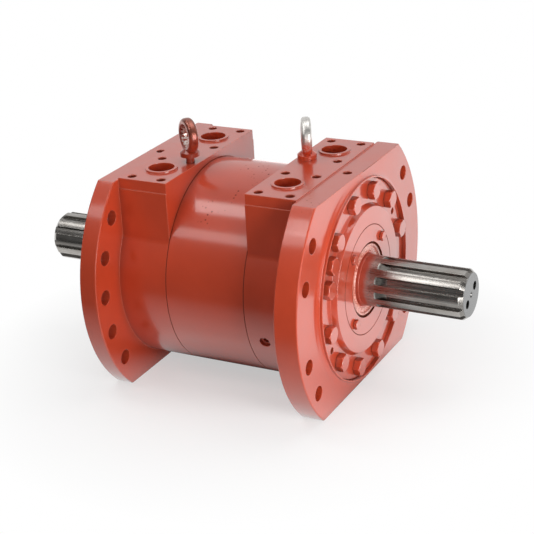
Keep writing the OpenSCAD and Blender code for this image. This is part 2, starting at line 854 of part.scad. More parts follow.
// Waved strip under each vane, which pushes it out against the cam ring.
module vane_springs() {
    strip_t = 0.8;
    strip_w = vane_t - 1.5;
    low = under_c - under_r + 1.6;
    high = vane_foot - 0.1;
    mid = (low + high) / 2;
    swing = (high - low - strip_t) / 2;
    waves = 4;
    steps = 8 * waves;
    len = 1.7 * rotor_half;
    function wave(k, side) = [mid + swing * cos(360 * waves * k / steps) + side * strip_t / 2, len * (k / steps - 0.5)];
    color(steel) for (i = [0:vane_n - 1]) on_axis() rotate(vane_turn + i * 360 / vane_n)
        translate([0, strip_w / 2, 0]) rotate([90, 0, 0]) linear_extrude(strip_w)
            polygon(concat([for (k = [0:steps]) wave(k, 1)], [for (k = [steps:-1:0]) wave(k, -1)]));
}

module spacer(step) {
    tube(rotor_half, bearing_x - step, core_r + fit_gap, spacer_r);
}

module front_spacer() {
    color(steel) spacer(0);
}

module rear_spacer() {
    color(steel) at_rear() spacer(rear_step);
}

// Open retaining ring in the shaft groove beside the bearing.
module snap_ring() {
    difference() {
        tube(bearing_end + 0.1, bearing_end + snap_w - 0.1, bearing_r - snap_depth + 0.1, bearing_r + snap_out);
        on_axis(bearing_end - over) rotate(90) translate([0, -5, 0]) cube([2 * bearing_r, 10, snap_w + 2 * over]);
    }
}

module front_snap_ring() {
    color(dark) snap_ring();
}

module rear_snap_ring() {
    color(dark) at_rear(rear_step) snap_ring();
}

front_casing();
rear_casing();
drum();
cam_ring();
front_side_plate();
rear_side_plate();
front_cover();
rear_cover();
front_cover_bolts();
rear_cover_bolts();
front_seal_retainer();
rear_seal_retainer();
front_retainer_screws();
rear_retainer_screws();
front_shaft_seal();
rear_shaft_seal();
front_seal_spring();
rear_seal_spring();
front_casing_seal();
rear_casing_seal();
front_cover_seal();
rear_cover_seal();
front_plate_seals();
rear_plate_seals();
front_bearing_outer();
rear_bearing_outer();
dowel_pins();
locating_pins();
front_drain_plug();
rear_drain_plug();
front_lifting_eye();
rear_lifting_eye();
shaft();
rotor();
vane_springs();
front_spacer();
rear_spacer();
front_bearing_inner();
rear_bearing_inner();
front_snap_ring();
rear_snap_ring();
front_bearing_cage();
front_bearing_rollers();
rear_bearing_cage();
rear_bearing_rollers();
vane(1);  // vane_01
vane(2);  // vane_02
vane(3);  // vane_03
vane(4);  // vane_04
vane(5);  // vane_05
vane(6);  // vane_06
vane(7);  // vane_07
vane(8);  // vane_08
vane(9);  // vane_09
vane(10);  // vane_10
vane(11);  // vane_11
vane(12);  // vane_12
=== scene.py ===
"""Looks of the hydraulic drive motor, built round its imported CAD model."""

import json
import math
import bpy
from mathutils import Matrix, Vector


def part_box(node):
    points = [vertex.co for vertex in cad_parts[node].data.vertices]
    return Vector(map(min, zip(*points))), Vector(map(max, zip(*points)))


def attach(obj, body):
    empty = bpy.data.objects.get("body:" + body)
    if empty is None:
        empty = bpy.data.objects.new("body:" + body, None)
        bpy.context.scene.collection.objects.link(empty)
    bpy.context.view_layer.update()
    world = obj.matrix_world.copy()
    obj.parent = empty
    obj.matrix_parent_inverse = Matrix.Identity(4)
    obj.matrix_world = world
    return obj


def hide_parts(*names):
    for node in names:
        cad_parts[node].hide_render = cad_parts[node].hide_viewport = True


bl_info = {
    "name": "Hydraulic drive motor",
    "version": (1, 0, 0),
    "blender": (4, 5, 0),
    "location": "View3D > Sidebar > Drive motor",
    "description": "Dresses the drive motor's solids in paint and machined steel, on a studio floor",
    "category": "Object",
}

import bmesh
import bpy
from mathutils import Matrix, Vector

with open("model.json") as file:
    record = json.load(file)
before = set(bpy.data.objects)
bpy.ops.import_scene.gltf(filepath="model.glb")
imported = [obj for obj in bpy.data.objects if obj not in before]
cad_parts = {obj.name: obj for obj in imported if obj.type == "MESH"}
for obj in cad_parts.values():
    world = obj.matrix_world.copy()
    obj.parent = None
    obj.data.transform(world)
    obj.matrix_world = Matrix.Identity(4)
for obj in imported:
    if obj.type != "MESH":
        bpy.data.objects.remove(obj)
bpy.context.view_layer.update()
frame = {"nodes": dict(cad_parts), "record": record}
NODES = frame["nodes"]

# Metres in a millimetre
MM = 0.001
# Height of the shaft axis
AXIS_H = 0.204
# Half the drum's length, where its seams with the casings are
DRUM_HALF = 0.08
# Radius of the drum and of the casings' round bodies
DRUM_R = 0.196
# Radius of the seal retainers
RETAINER_R = 0.1033
# Radius of the bore round each shaft seal, inside which the retainer is in shade
GAP_R = 0.0712
# Radii on a shaft seal: the bare lip, the first beads of paint mist and the bare outer rim
LIP_R = 0.0487
BEADS_R = 0.0505
SEAL_RIM_R = 0.0664
# Distance of the splines' inner ends from the middle, front and rear
SPLINE_STARTS = (0.2673, 0.2573)
# Radii between which the shaft's tiny step down to its splines lies
STEP_RADII = (46.6 * MM, 47.7 * MM)
# Radii on the shaft: the groove floors, the cutter's run-outs and the centre drilling
GROOVE_R = 0.0452
RUN_OUT_R = 0.0465
DRILLING_R = 0.0065
# Places along the shaft, from the middle: the end of the paint mist, the end of the run-outs and the end faces
MIST_END = 0.25
RUN_OUT_END = 0.278
END_FACE = 0.4354
# Middles of the patches of dirt on the drum and the front casing
DIRT_PLACES = (
    (0.02, -0.01, 0.4),
    (0.05, -0.03, 0.4),
    (0.035, -0.09, 0.378),
    (-0.01, -0.13, 0.35),
    (0.2, -0.17, 0.42),
)
# Radii of the rear lifting eye's ring: its outer side, and its inner side, where paint chips off
REAR_EYE_R = 0.033
CHIPPED_R = 0.0215
# Painted shade in the corners, and the dark of the gaps: seams, dirt spots and, as painted shade, the seal gap
CORNER_SHADE_COLOR = (0.15, 0.045, 0.028)
GAP_COLOR = (0.21, 0.042, 0.022)
# Nodes whose surface is the sprayed paint
PAINTED_CASTINGS = ("front_casing", "rear_casing", "drum")
PAINTED_COVERS = ("front_cover", "rear_cover", "front_seal_retainer", "rear_seal_retainer")
PAINTED_SCREWS = (
    "front_cover_bolts",
    "rear_cover_bolts",
    "front_retainer_screws",
    "rear_retainer_screws",
    "front_drain_plug",
    "rear_drain_plug",
)
# Finishes of single nodes that differ from their slot's
OWN_FINISH = {
    "front_shaft_seal": "painted_seal",
    "rear_shaft_seal": "painted_seal",
    "front_lifting_eye": "front_eye",
    "rear_lifting_eye": "rear_eye",
}
# Every finish by its name, filled when the script runs
MATERIALS = {}


# Shader nodes


def math_node(nodes, operation, a=None, b=None, clamp=False):
    """A Math node with constant inputs where given."""
    node = nodes.new("ShaderNodeMath")
    node.operation = operation
    node.use_clamp = clamp
    if a is not None:
        node.inputs[0].default_value = a
    if b is not None:
        node.inputs[1].default_value = b
    return node


def place_group(tree, group, **values):
    """The group as a node in a material's tree, with its inputs set to numbers or linked to sockets."""
    node = tree.nodes.new("ShaderNodeGroup")
    node.node_tree = group
    for label, value in values.items():
        socket = node.inputs[label.replace("_", " ")]
        if isinstance(value, bpy.types.NodeSocket):
            tree.links.new(value, socket)
        else:
            socket.default_value = value
    return node


def start_material(name):
    """A material with its Principled BSDF, ready for links."""
    material = bpy.data.materials.new(name)
    material.use_nodes = True
    tree = material.node_tree
    return material, tree, tree.nodes["Principled BSDF"]


def ramp(tree, source, stops):
    """A colour ramp fed by source, with stops of (place, colour)."""
    node = tree.nodes.new("ShaderNodeValToRGB")
    while len(node.color_ramp.elements) < len(stops):
        node.color_ramp.elements.new(0.5)
    for element, (place, color) in zip(node.color_ramp.elements, stops):
        element.position = place
        element.color = (*color, 1.0)
    tree.links.new(source, node.inputs["Fac"])
    return node.outputs["Color"]


def mix_color(tree, factor, a, b):
    """Mix of two colours, each a socket or a constant, by a factor socket."""
    node = tree.nodes.new("ShaderNodeMix")
    node.data_type = "RGBA"
    for index, value in ((0, factor), (6, a), (7, b)):
        if isinstance(value, bpy.types.NodeSocket):
            tree.links.new(value, node.inputs[index])
        else:
            node.inputs[index].default_value = (*value, 1.0) if index else value
    return node.outputs[2]


def span(tree, source, low, high, to_low=0.0, to_high=1.0):
    """Source moved from one range of values to another."""
    node = tree.nodes.new("ShaderNodeMapRange")
    for label, value in (("From Min", low), ("From Max", high), ("To Min", to_low), ("To Max", to_high)):
        node.inputs[label].default_value = value
    tree.links.new(source, node.inputs["Value"])
    return node.outputs["Result"]


def add_bump(tree, shader, height, strength, distance):
    """Bump from height into the shader's normal."""
    bump = tree.nodes.new("ShaderNodeBump")
    bump.inputs["Strength"].default_value = strength
    bump.inputs["Distance"].default_value = distance
    tree.links.new(height, bump.inputs["Height"])
    tree.links.new(bump.outputs["Normal"], shader.inputs["Normal"])


def scaled(color, factor):
    """A colour made lighter or darker."""
    return tuple(min(1.0, c * factor) for c in color)


def product(tree, a, b):
    """Product of two sockets, or of a socket and a number."""
    node = math_node(tree.nodes, "MULTIPLY", b=None if isinstance(b, bpy.types.NodeSocket) else b)
    tree.links.new(a, node.inputs[0])
    if isinstance(b, bpy.types.NodeSocket):
        tree.links.new(b, node.inputs[1])
    return node.outputs[0]


def total(tree, a, b):
    """Sum of two sockets."""
    node = math_node(tree.nodes, "ADD")
    tree.links.new(a, node.inputs[0])
    tree.links.new(b, node.inputs[1])
    return node.outputs[0]


def inverse(tree, mask):
    """1 less the mask."""
    return span(tree, mask, 0.0, 1.0, 1.0, 0.0)


def near_value(tree, source, middle, near, far, amount):
    """Amount where source is within near of middle, 0 beyond far."""
    off = math_node(tree.nodes, "SUBTRACT", b=middle)
    tree.links.new(source, off.inputs[0])
    away = math_node(tree.nodes, "ABSOLUTE")
    tree.links.new(off.outputs[0], away.inputs[0])
    return span(tree, away.outputs[0], near, far, amount, 0.0)


def near_places(tree, places, near, far):
    """1 within near of any of the places, 0 beyond far."""
    coord = tree.nodes.new("ShaderNodeTexCoord")
    masks = []
    for place in places:
        distance = tree.nodes.new("ShaderNodeVectorMath")
        distance.operation = "DISTANCE"
        distance.inputs[1].default_value = place
        tree.links.new(coord.outputs["Object"], distance.inputs[0])
        masks.append(span(tree, distance.outputs["Value"], near, far, 1.0, 0.0))
    joined = masks[0]
    for mask in masks[1:]:
        most = math_node(tree.nodes, "MAXIMUM")
        tree.links.new(joined, most.inputs[0])
        tree.links.new(mask, most.inputs[1])
        joined = most.outputs[0]
    return joined


# Shader node groups


def new_group(name, inputs, outputs):
    """An empty shader node group of numbers: inputs as pairs of name and value, outputs as names."""
    group = bpy.data.node_groups.new(name, "ShaderNodeTree")
    for label, value in inputs:
        socket = group.interface.new_socket(name=label, in_out="INPUT", socket_type="NodeSocketFloat")
        socket.default_value = value
    for label in outputs:
        group.interface.new_socket(name=label, in_out="OUTPUT", socket_type="NodeSocketFloat")
    return group, group.nodes.new("NodeGroupInput"), group.nodes.new("NodeGroupOutput")


def make_mottle_group():
    """Soft patches and fine specks on painted or cast metal."""
    inputs = (("Patch Scale", 9.0), ("Speck Scale", 420.0), ("Speck Amount", 0.5))
    group, gin, gout = new_group("mottle", inputs, ("Patch", "Speck", "Height"))
    nodes, links = group.nodes, group.links
    coord = nodes.new("ShaderNodeTexCoord")
    patch = nodes.new("ShaderNodeTexNoise")
    patch.inputs["Detail"].default_value = 4.0
    patch.inputs["Roughness"].default_value = 0.6
    links.new(coord.outputs["Object"], patch.inputs["Vector"])
    links.new(gin.outputs["Patch Scale"], patch.inputs["Scale"])
    speck = nodes.new("ShaderNodeTexNoise")
    speck.inputs["Detail"].default_value = 2.0
    links.new(coord.outputs["Object"], speck.inputs["Vector"])
    links.new(gin.outputs["Speck Scale"], speck.inputs["Scale"])
    peak = nodes.new("ShaderNodeMapRange")
    peak.inputs["From Min"].default_value = 0.68
    peak.inputs["From Max"].default_value = 0.8
    links.new(speck.outputs["Fac"], peak.inputs["Value"])
    amount = math_node(nodes, "MULTIPLY")
    links.new(peak.outputs["Result"], amount.inputs[0])
    links.new(gin.outputs["Speck Amount"], amount.inputs[1])
    links.new(patch.outputs["Fac"], gout.inputs["Patch"])
    links.new(amount.outputs[0], gout.inputs["Speck"])
    links.new(total(group, speck.outputs["Fac"], patch.outputs["Fac"]), gout.inputs["Height"])
    return group


def make_spots_group():
    """Small dark spots of dirt, one in some of the cells of a scattered pattern."""
    group, gin, gout = new_group("dirt_spots", (("Spot Scale", 150.0), ("Share", 0.4)), ("Mask",))
    nodes, links = group.nodes, group.links
    coord = nodes.new("ShaderNodeTexCoord")
    cells = nodes.new("ShaderNodeTexVoronoi")
    links.new(coord.outputs["Object"], cells.inputs["Vector"])
    links.new(gin.outputs["Spot Scale"], cells.inputs["Scale"])
    dot = span(group, cells.outputs["Distance"], 0.3, 0.18)
    pick = nodes.new("ShaderNodeSeparateColor")
    links.new(cells.outputs["Color"], pick.inputs["Color"])
    kept = math_node(nodes, "LESS_THAN")
    links.new(pick.outputs["Red"], kept.inputs[0])
    links.new(gin.outputs["Share"], kept.inputs[1])
    links.new(product(group, kept.outputs[0], dot), gout.inputs["Mask"])
    return group


def make_edge_group():
    """Mask of the corners: near 1 on sharp edges, 0 on open faces."""
    group, gin, gout = new_group("edge_mask", (("Radius", 2.0 * MM), ("Gain", 6.0)), ("Mask",))
    nodes, links = group.nodes, group.links
    geometry = nodes.new("ShaderNodeNewGeometry")
    bevel = nodes.new("ShaderNodeBevel")
    bevel.samples = 4
    links.new(gin.outputs["Radius"], bevel.inputs["Radius"])
    dot = nodes.new("ShaderNodeVectorMath")
    dot.operation = "DOT_PRODUCT"
    links.new(geometry.outputs["Normal"], dot.inputs[0])
    links.new(bevel.outputs["Normal"], dot.inputs[1])
    lack = math_node(nodes, "SUBTRACT", a=1.0)
    links.new(dot.outputs["Value"], lack.inputs[1])
    gain = math_node(nodes, "MULTIPLY", clamp=True)
    links.new(lack.outputs[0], gain.inputs[0])
    links.new(gin.outputs["Gain"], gain.inputs[1])
    links.new(gain.outputs[0], gout.inputs["Mask"])
    return group


def make_turning_group():
    """Fine rings about the shaft axis, as a lathe leaves them, with long soft streaks."""
    outputs = ("Fine", "Broad", "Radius", "Along", "Height", "Grain")
    group, gin, gout = new_group("turning", (("Rings", 900.0), ("Streaks", 60.0)), outputs)
    nodes, links = group.nodes, group.links
    coord = nodes.new("ShaderNodeTexCoord")
    split = nodes.new("ShaderNodeSeparateXYZ")
    links.new(coord.outputs["Object"], split.inputs["Vector"])
    above = math_node(nodes, "SUBTRACT", b=AXIS_H)
    links.new(split.outputs["Z"], above.inputs[0])
    y_squared = product(group, split.outputs["Y"], split.outputs["Y"])
    z_squared = product(group, above.outputs[0], above.outputs[0])
    radius = math_node(nodes, "SQRT")
    links.new(total(group, y_squared, z_squared), radius.inputs[0])
    place = nodes.new("ShaderNodeCombineXYZ")
    links.new(split.outputs["X"], place.inputs["X"])
    links.new(radius.outputs[0], place.inputs["Y"])
    for label, source in (("Fine", "Rings"), ("Broad", "Streaks")):
        noise = nodes.new("ShaderNodeTexNoise")
        noise.inputs["Detail"].default_value = 3.0
        links.new(place.outputs["Vector"], noise.inputs["Vector"])
        links.new(gin.outputs[source], noise.inputs["Scale"])
        links.new(noise.outputs["Fac"], gout.inputs[label])
    along = math_node(nodes, "ABSOLUTE")
    links.new(split.outputs["X"], along.inputs[0])
    squeeze = nodes.new("ShaderNodeVectorMath")
    squeeze.operation = "MULTIPLY"
    squeeze.inputs[1].default_value = (9.0, 700.0, 700.0)
    links.new(coord.outputs["Object"], squeeze.inputs[0])
    grain = nodes.new("ShaderNodeTexNoise")
    grain.inputs["Scale"].default_value = 1.0
    grain.inputs["Detail"].default_value = 4.0
    links.new(squeeze.outputs["Vector"], grain.inputs["Vector"])
    links.new(radius.outputs[0], gout.inputs["Radius"])
    links.new(along.outputs[0], gout.inputs["Along"])
    links.new(split.outputs["Z"], gout.inputs["Height"])
    links.new(grain.outputs["Fac"], gout.inputs["Grain"])
    return group


def make_gap_group():
    """1 in the thin seams between drum and casings and at the retainer's rim, and in the gap round the shaft seal
    as painted shade.
    """
    group, gin, gout = new_group("dark_gaps", (("Along", 0.0), ("Radius", 0.0)), ("Mask",))
    along, radius = gin.outputs["Along"], gin.outputs["Radius"]
    seam = near_value(group, along, DRUM_HALF, 0.6 * MM, 1.2 * MM, 0.75)
    on_drum = span(group, radius, DRUM_R + 1.0 * MM, DRUM_R + 1.5 * MM, 1.0, 0.0)
    # Painted shade: the gap round the shaft seal is darkened where the retainer's bore is hidden.
    gap = span(group, radius, GAP_R, GAP_R + 0.2 * MM, 1.0, 0.0)
    rim = near_value(group, radius, RETAINER_R, 0.6 * MM, 1.3 * MM, 0.85)
    lines = total(group, product(group, seam, on_drum), gap)
    group.links.new(total(group, lines, rim), gout.inputs["Mask"])
    return group


def make_crevice_group():
    """Mask of the places that their surroundings hide within reach, which the paint darkens as painted shade."""
    group, gin, gout = new_group("crevice", (("Reach", 25.0 * MM),), ("Mask",))
    hidden = group.nodes.new("ShaderNodeAmbientOcclusion")
    hidden.samples = 6
    group.links.new(gin.outputs["Reach"], hidden.inputs["Distance"])
    group.links.new(span(group, hidden.outputs["AO"], 0.2, 0.85, 1.0, 0.0), gout.inputs["Mask"])
    return group


def make_overspray_group():
    """Cover of paint mist where the mask is high, with a grainy border."""
    group, gin, gout = new_group("overspray", (("Mask", 0.0), ("Grain", 1.0)), ("Cover",))
    grain = span(group, gin.outputs["Grain"], 0.7, 1.3, -0.35, 0.35)
    rough_edge = total(group, gin.outputs["Mask"], grain)
    group.links.new(span(group, rough_edge, 0.35, 0.75), gout.inputs["Cover"])
    return group


def make_groups():
    """Every shared effect by its name."""
    return {
        "mottle": make_mottle_group(),
        "edge": make_edge_group(),
        "turning": make_turning_group(),
        "spots": make_spots_group(),
        "gaps": make_gap_group(),
        "crevice": make_crevice_group(),
        "overspray": make_overspray_group(),
    }


# Materials


def paint_material(name, color, groups, roughness, gloss, sheen, bump, patch_depth, lathe, dirt):
    """Glossy sprayed enamel: tone patches, orange peel, corners lighter from wear and painted highlight, painted
    shade in hollows, dark specks, lathe lines.
    """
    material, tree, shader = start_material(name)
    mottle = place_group(tree, groups["mottle"])
    turning = place_group(tree, groups["turning"], Rings=260.0, Streaks=25.0)
    stops = [(0.3, scaled(color, 1 - patch_depth)), (0.7, scaled(color, 1 + patch_depth))]
    tone = ramp(tree, mottle.outputs["Patch"], stops)
    edge = place_group(tree, groups["edge"])
    # Corners lightened, partly as wear and partly as a painted highlight on the edges.
    worn_and_lit = mix_color(tree, span(tree, edge.outputs["Mask"], 0.0, 1.0, 0.0, 0.3), tone, (0.8, 0.3, 0.2))
    specks = mix_color(tree, product(tree, mottle.outputs["Speck"], 0.35), worn_and_lit, scaled(color, 0.35))
    # Painted shade: corners and hollows that the surroundings hide are darkened toward a dim paint colour.
    hidden = place_group(tree, groups["crevice"]).outputs["Mask"]
    corner_shaded = mix_color(tree, product(tree, hidden, 0.6), specks, CORNER_SHADE_COLOR)
    gaps = place_group(tree, groups["gaps"], Along=turning.outputs["Along"], Radius=turning.outputs["Radius"])
    bare_of_coat = gaps.outputs["Mask"]
    if dirt:
        scattered = place_group(tree, groups["spots"]).outputs["Mask"]
        spots = product(tree, scattered, near_places(tree, DIRT_PLACES, 14.0 * MM, 34.0 * MM))
        bare_of_coat = total(tree, bare_of_coat, spots)
    # Seams and dirt spots are dark in their own right; the dark of the seal gap is painted shade.
    tree.links.new(mix_color(tree, bare_of_coat, corner_shaded, GAP_COLOR), shader.inputs["Base Color"])
    tree.links.new(bare_of_coat, shader.inputs["Metallic"])
    satin = span(tree, mottle.outputs["Patch"], 0.3, 0.7, roughness - 0.05, roughness + 0.07)
    tree.links.new(total(tree, satin, product(tree, bare_of_coat, 0.5)), shader.inputs["Roughness"])
    tree.links.new(inverse(tree, bare_of_coat), shader.inputs["Coat Weight"])
    shader.inputs["Coat Roughness"].default_value = gloss
    shader.inputs["Specular IOR Level"].default_value = sheen
    height = total(tree, mottle.outputs["Height"], product(tree, turning.outputs["Fine"], lathe))
    add_bump(tree, shader, height, bump, 0.6 * MM)
    return material


def steel_material(name, color, groups, roughness, rings):
    """Turned or ground steel with rings and streaks."""
    material, tree, shader = start_material(name)
    turning = place_group(tree, groups["turning"], Rings=rings)
    mottle = place_group(tree, groups["mottle"], Patch_Scale=30.0)
    tone = ramp(tree, turning.outputs["Broad"], [(0.3, scaled(color, 0.8)), (0.7, scaled(color, 1.15))])
    patched = mix_color(tree, span(tree, mottle.outputs["Patch"], 0.45, 0.75, 0.0, 0.4), tone, scaled(color, 0.6))
    tree.links.new(patched, shader.inputs["Base Color"])
    satin = span(tree, turning.outputs["Fine"], 0.3, 0.7, roughness - 0.08, roughness + 0.12)
    tree.links.new(satin, shader.inputs["Roughness"])
    shader.inputs["Metallic"].default_value = 1.0
    add_bump(tree, shader, turning.outputs["Fine"], 0.25, 0.05 * MM)
    return material


def shaft_material(name, color, paint, groups):
    """Splined steel: groove floors, run-outs and centre drilling darkened as painted shade, long cutter grain,
    stained patches and paint mist beside the seals.
    """
    material, tree, shader = start_material(name)
    turning = place_group(tree, groups["turning"], Rings=800.0, Streaks=40.0)
    mottle = place_group(tree, groups["mottle"], Patch_Scale=28.0)
    tone = ramp(tree, turning.outputs["Grain"], [(0.3, scaled(color, 0.78)), (0.7, scaled(color, 1.2))])
    stains = span(tree, mottle.outputs["Patch"], 0.42, 0.7, 0.0, 0.4)
    stained = mix_color(tree, stains, tone, (0.17, 0.14, 0.11))
    along, radius, grain = turning.outputs["Along"], turning.outputs["Radius"], turning.outputs["Grain"]
    # Painted shade: the groove floors and the cutter's run-outs are darkened.
    groove = span(tree, radius, GROOVE_R, GROOVE_R + 1.2 * MM, 0.45, 0.0)
    low = span(tree, radius, RUN_OUT_R, RUN_OUT_R + 0.4 * MM, 0.7, 0.0)
    run_out = product(tree, low, span(tree, along, RUN_OUT_END, RUN_OUT_END + 14.0 * MM, 1.0, 0.0))
    splined = span(tree, along, SPLINE_STARTS[0] - 5.3 * MM, SPLINE_STARTS[0] + 0.7 * MM)
    spline_shade = product(tree, total(tree, groove, run_out), splined)
    spline_shaded = mix_color(tree, spline_shade, stained, (0.075, 0.068, 0.062))
    faced = mix_color(tree, span(tree, along, END_FACE, END_FACE + 0.4 * MM, 0.0, 0.75), spline_shaded, (0.115, 0.12, 0.125))
    # Painted shade: the centre drilling is darkened.
    centre = span(tree, radius, DRILLING_R, DRILLING_R + 0.5 * MM, 0.8, 0.0)
    drilling_shaded = mix_color(tree, centre, faced, (0.1, 0.1, 0.1))
    mist = place_group(tree, groups["mottle"], Patch_Scale=90.0, Speck_Scale=1500.0)
    reach = total(tree, along, span(tree, mist.outputs["Height"], 0.7, 1.3, -3.0 * MM, 3.0 * MM))
    thick = span(tree, reach, MIST_END - 4.0 * MM, MIST_END + 7.0 * MM, 0.85, 0.0)
    cover = total(tree, thick, span(tree, reach, MIST_END, MIST_END + 25.0 * MM, 0.08, 0.0))
    bare = inverse(tree, cover)
    tree.links.new(mix_color(tree, cover, drilling_shaded, scaled(paint, 0.75)), shader.inputs["Base Color"])
    tree.links.new(bare, shader.inputs["Metallic"])
    bright = product(tree, span(tree, grain, 0.3, 0.7, 0.17, 0.33), bare)
    tree.links.new(total(tree, bright, product(tree, cover, 0.4)), shader.inputs["Roughness"])
    height = product(tree, total(tree, grain, product(tree, turning.outputs["Fine"], 0.5)), bare)
    add_bump(tree, shader, height, 0.3, 0.06 * MM)
    return material


def eye_material(name, bare, paint, groups, low, high, chips=None):
    """Lifting eye, bare above and misted with paint below, with a border from low to high; flaked round chips."""
    material, tree, shader = start_material(name)
    turning = place_group(tree, groups["turning"])
    mottle = place_group(tree, groups["mottle"], Patch_Scale=80.0, Speck_Scale=600.0)
    tone = ramp(tree, mottle.outputs["Patch"], [(0.3, scaled(bare, 0.7)), (0.65, scaled(bare, 1.2))])
    mask = span(tree, turning.outputs["Height"], low, high, 1.0, 0.0)
    mist = place_group(tree, groups["mottle"], Patch_Scale=70.0, Speck_Scale=900.0)
    cover = place_group(tree, groups["overspray"], Mask=mask, Grain=mist.outputs["Height"]).outputs["Cover"]
    misted = mix_color(tree, cover, tone, paint)
    specked = mix_color(tree, product(tree, mottle.outputs["Speck"], 0.9), misted, (0.6, 0.45, 0.4))
    if chips:
        flakes = place_group(tree, groups["mottle"], Patch_Scale=330.0)
        inner_side = near_places(tree, (chips,), CHIPPED_R, CHIPPED_R + 2.0 * MM)
        broken = product(tree, inner_side, span(tree, flakes.outputs["Patch"], 0.46, 0.54))
        specked = mix_color(tree, broken, specked, (0.72, 0.62, 0.57))
    tree.links.new(specked, shader.inputs["Base Color"])
    tree.links.new(span(tree, cover, 0.0, 1.0, 0.95, 0.0), shader.inputs["Metallic"])
    tree.links.new(span(tree, mottle.outputs["Patch"], 0.3, 0.7, 0.28, 0.45), shader.inputs["Roughness"])
    shader.inputs["Coat Weight"].default_value = 0.4
    shader.inputs["Coat Roughness"].default_value = 0.15
    add_bump(tree, shader, mottle.outputs["Height"], 0.4, 0.3 * MM)
    return material


def seal_material(name, paint, groups):
    """Rubber seal under grainy paint mist, its beads lightened partly as painted glints; bare at its outer rim and
    lip, darkened there as painted shade.
    """
    material, tree, shader = start_material(name)
    turning = place_group(tree, groups["turning"])
    mottle = place_group(tree, groups["mottle"], Patch_Scale=420.0, Speck_Scale=1200.0)
    # Paint mist beads, lightened partly as painted glints.
    beads = ramp(tree, mottle.outputs["Patch"], [(0.42, scaled(paint, 0.8)), (0.58, (0.88, 0.42, 0.33))])
    radius = turning.outputs["Radius"]
    beaded = span(tree, radius, BEADS_R, BEADS_R + 2.0 * MM)
    misted = mix_color(tree, beaded, paint, beads)
    # Bare rubber at the rim and lip, in a dark brown that is partly painted shade of the gap and of the crease at
    # the shaft.
    bare = mix_color(tree, mottle.outputs["Patch"], (0.13, 0.03, 0.018), (0.2, 0.045, 0.026))
    rim = span(tree, radius, SEAL_RIM_R, SEAL_RIM_R + 0.6 * MM)
    lip = span(tree, radius, LIP_R, LIP_R + 0.6 * MM, 1.0, 0.0)
    tree.links.new(mix_color(tree, total(tree, rim, lip), misted, bare), shader.inputs["Base Color"])
    satin = span(tree, mottle.outputs["Patch"], 0.3, 0.7, 0.3, 0.5)
    tree.links.new(total(tree, satin, product(tree, rim, 0.5)), shader.inputs["Roughness"])
    tree.links.new(span(tree, rim, 0.0, 1.0, 0.6, 0.0), shader.inputs["Coat Weight"])
    tree.links.new(rim, shader.inputs["Metallic"])
    shader.inputs["Coat Roughness"].default_value = 0.15
    add_bump(tree, shader, mottle.outputs["Height"], 0.6, 0.5 * MM)
    return material


def rubber_material(name, groups):
    """Dark seal rubber with a faint bloom."""
    material, tree, shader = start_material(name)
    mottle = place_group(tree, groups["mottle"], Patch_Scale=60.0)
    bloom = ramp(tree, mottle.outputs["Patch"], [(0.35, (0.012, 0.012, 0.012)), (0.7, (0.035, 0.034, 0.033))])
    tree.links.new(bloom, shader.inputs["Base Color"])
    tree.links.new(span(tree, mottle.outputs["Patch"], 0.3, 0.7, 0.5, 0.7), shader.inputs["Roughness"])
    add_bump(tree, shader, mottle.outputs["Height"], 0.15, 0.2 * MM)
    return material


def floor_material():
    """Floor: white with a faint shadow to the camera; to reflections it glows as a painted reflection of a lit
    floor, with painted shade at the feet.
    """
    material, tree, shader = start_material("pale_floor")
    surface = tree.nodes["Material Output"].inputs["Surface"]
    shader.inputs["Roughness"].default_value = 0.6
    path = tree.nodes.new("ShaderNodeLightPath")
    pale = mix_color(tree, path.outputs["Is Camera Ray"], (0.42, 0.42, 0.42), (0.95, 0.95, 0.95))
    tree.links.new(pale, shader.inputs["Base Color"])
    coord = tree.nodes.new("ShaderNodeTexCoord")
    split = tree.nodes.new("ShaderNodeSeparateXYZ")
    tree.links.new(coord.outputs["Object"], split.inputs["Vector"])
    # Painted reflection: glossy rays see the floor glow as if lit.
    reflected_glow = tree.nodes.new("ShaderNodeEmission")
    length = tree.nodes.new("ShaderNodeVectorMath")
    length.operation = "LENGTH"
    tree.links.new(coord.outputs["Object"], length.inputs[0])
    squeeze = tree.nodes.new("ShaderNodeVectorMath")
    squeeze.operation = "MULTIPLY"
    squeeze.inputs[1].default_value = (0.5, 1.0, 0.0)
    tree.links.new(coord.outputs["Object"], squeeze.inputs[0])
    from_foot = tree.nodes.new("ShaderNodeVectorMath")
    from_foot.operation = "LENGTH"
    tree.links.new(squeeze.outputs["Vector"], from_foot.inputs[0])
    near_side = span(tree, split.outputs["Y"], -0.62, -0.28, 0.08, 1.1)
    far_side = span(tree, split.outputs["Y"], -0.25, 0.55, 0.0, 0.42)
    # Painted shade under the motor in the glowing floor.
    under = span(tree, from_foot.outputs["Value"], 0.085, 0.2, 0.03, 1.0)
    tree.links.new(product(tree, total(tree, near_side, far_side), under), reflected_glow.inputs["Strength"])
    far = product(tree, span(tree, length.outputs["Value"], 0.2, 0.6, 0.5, 1.0), path.outputs["Is Camera Ray"])
    white = tree.nodes.new("ShaderNodeEmission")
    for factor, light in ((far, white), (path.outputs["Is Glossy Ray"], reflected_glow)):
        mix = tree.nodes.new("ShaderNodeMixShader")
        tree.links.new(factor, mix.inputs["Fac"])
        tree.links.new(surface.links[0].from_socket, mix.inputs[1])
        tree.links.new(light.outputs["Emission"], mix.inputs[2])
        tree.links.new(mix.outputs["Shader"], surface)
    return material


def eye_middle(node):
    """Middle of a lifting eye's ring, from the top of the node."""
    low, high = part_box(node)
    return ((low[0] + high[0]) / 2, (low[1] + high[1]) / 2, high[2] - REAR_EYE_R)


